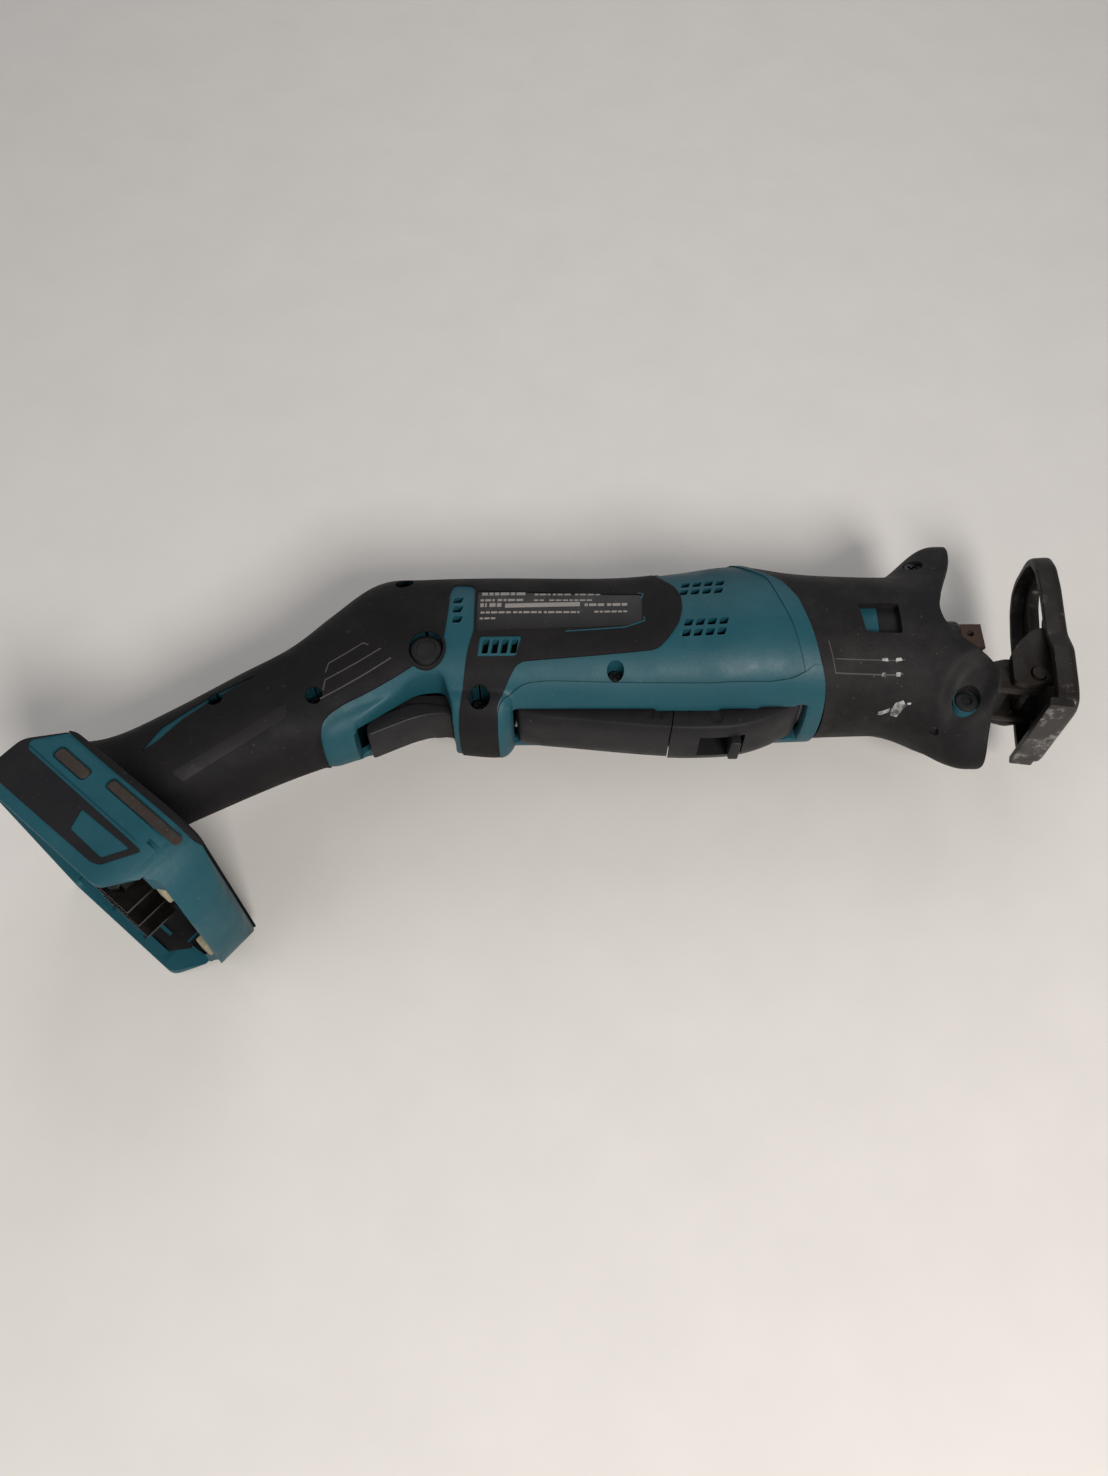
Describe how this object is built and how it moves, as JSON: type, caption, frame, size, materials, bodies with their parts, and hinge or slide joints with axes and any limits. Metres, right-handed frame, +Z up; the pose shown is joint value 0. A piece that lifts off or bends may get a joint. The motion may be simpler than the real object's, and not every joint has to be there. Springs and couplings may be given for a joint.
{
  "type": "reciprocating saw",
  "caption": "Compact cordless one-hand reciprocating saw body with angled grip, battery foot, paddle lever, rubber nose boot and tilting shoe, no battery or blade.",
  "frame": {"origin": "centre of the bounding box in X and Y, on the table under the tool lying on its left side", "axes": "+X forwards to the shoe, +Y to the back of the tool, +Z up out of its right side"},
  "size_m": [0.3552, 0.1564, 0.08],
  "materials": {
    "teal_plastic": "dusty moulded teal housing plastic",
    "black_rubber": "soft black elastomer",
    "black_plastic": "moulded black plastic",
    "black_steel": "worn black oxide on pressed steel",
    "bare_steel": "plain steel",
    "rusty_steel": "brown rusty steel",
    "cast_aluminium": "die cast",
    "copper": "copper coloured winding and laminations",
    "brass": "sintered bronze and brass",
    "beige_rubber": "beige foam rubber pad"
  },
  "bodies": {
    "tool": {"housing_right": "teal_plastic", "housing_left": "teal_plastic", "front_boot": "black_rubber", "slider_seal": "black_rubber", "label_right": "black_plastic", "label_left": "black_plastic", "brush_holder": "black_plastic", "switch_body": "black_plastic", "controller": "black_plastic", "paddle_guard": "black_plastic", "terminal_block": "black_plastic", "motor_magnets": "black_steel", "boot_screw_1": "black_steel", "boot_screw_2": "black_steel", "motor_can": "bare_steel", "motor_bearing_rear": "bare_steel", "motor_bearing_front": "bare_steel", "crank_bearing_lower": "bare_steel", "crank_bearing_upper": "bare_steel", "paddle_pin": "bare_steel", "terminal_positive": "bare_steel", "terminal_negative": "bare_steel", "housing_screw_1": "bare_steel", "housing_screw_2": "bare_steel", "housing_screw_3": "bare_steel", "housing_screw_4": "bare_steel", "housing_screw_5": "bare_steel", "housing_screw_6": "bare_steel", "gear_case": "cast_aluminium", "gear_case_cover": "cast_aluminium", "slider_bush_rear": "brass", "slider_bush_front": "brass", "terminal_signal": "brass", "foot_pad_left_1": "beige_rubber", "foot_pad_left_2": "beige_rubber", "foot_pad_right_1": "beige_rubber", "foot_pad_right_2": "beige_rubber"},
    "drive_crank": {"crank_gear": "bare_steel", "crank_pin": "bare_steel"},
    "rotor": {"armature": "copper", "fan": "black_plastic"},
    "reciprocating_slider": {"slider": "bare_steel", "scotch_yoke": "bare_steel", "blade_holder": "rusty_steel"},
    "clamp_sleeve": {"clamp_sleeve": "black_steel"},
    "trigger": {"trigger": "black_plastic"},
    "lock_off_bar": {"lock_off_bar": "black_plastic"},
    "paddle": {"paddle_lever": "black_plastic"},
    "paddle_lock": {"paddle_lock": "black_plastic"},
    "shoe_bracket": {"shoe_bracket": "black_steel", "shoe_pin": "bare_steel"},
    "shoe": {"shoe": "black_steel"},
    "shoe_lock_button": {"shoe_lock_button": "black_plastic"}
  },
  "joints": [
    {"name": "crank_turn", "type": "hinge", "parent": "tool", "child": "drive_crank", "pos_m": [0.08497, 0.0187, 0.04], "axis": [0, 1, 0], "range_deg": [-90, 90]},
    {"name": "rotor_spin", "type": "hinge", "parent": "tool", "child": "rotor", "pos_m": [-0.00503, 0.0302, 0.04], "axis": [1, 0, 0], "range_deg": [-361, 361]},
    {"name": "slider_stroke", "type": "slide", "parent": "tool", "child": "reciprocating_slider", "axis": [1, 0, 0], "range_m": [-0.00651, 0.00651]},
    {"name": "clamp_twist", "type": "hinge", "parent": "reciprocating_slider", "child": "clamp_sleeve", "pos_m": [0.13997, 0.0367, 0.04], "axis": [1, 0, 0], "range_deg": [0, 40], "stiffness_Nm_per_rad": 0.05},
    {"name": "trigger_squeeze", "type": "slide", "parent": "tool", "child": "trigger", "axis": [-0.5, 0.866, 0], "range_m": [0, 0.005], "stiffness_N_per_m": 1200, "springref_m": -0.003},
    {"name": "lock_off_push", "type": "slide", "parent": "tool", "child": "lock_off_bar", "axis": [0, 0, -1], "range_m": [0, 0.003], "stiffness_N_per_m": 600, "springref_m": -0.002},
    {"name": "paddle_squeeze", "type": "hinge", "parent": "tool", "child": "paddle", "pos_m": [-0.01353, 0.0049, 0.04], "axis": [0, 0, 1], "range_deg": [0, 4.5], "stiffness_Nm_per_rad": 1.2, "springref_deg": -8.59},
    {"name": "paddle_lock_slide", "type": "slide", "parent": "tool", "child": "paddle_lock", "axis": [-1, 0, 0], "range_m": [0, 0.008]},
    {"name": "shoe_extend", "type": "slide", "parent": "tool", "child": "shoe_bracket", "axis": [1, 0, 0], "range_m": [0, 0.012]},
    {"name": "shoe_tilt", "type": "hinge", "parent": "shoe_bracket", "child": "shoe", "pos_m": [0.16097, 0.0142, 0.04], "axis": [0, 0, 1], "range_deg": [-14, 14]},
    {"name": "shoe_lock_press", "type": "slide", "parent": "tool", "child": "shoe_lock_button", "axis": [0, 0, -1], "range_m": [0, 0.003], "stiffness_N_per_m": 800, "springref_m": -0.002}
  ],
  "couplings": [
    {"joint": "slider_stroke", "follows": "crank_turn", "m_per_rad": 0.004138},
    {"joint": "rotor_spin", "follows": "crank_turn", "ratio": 4}
  ]
}
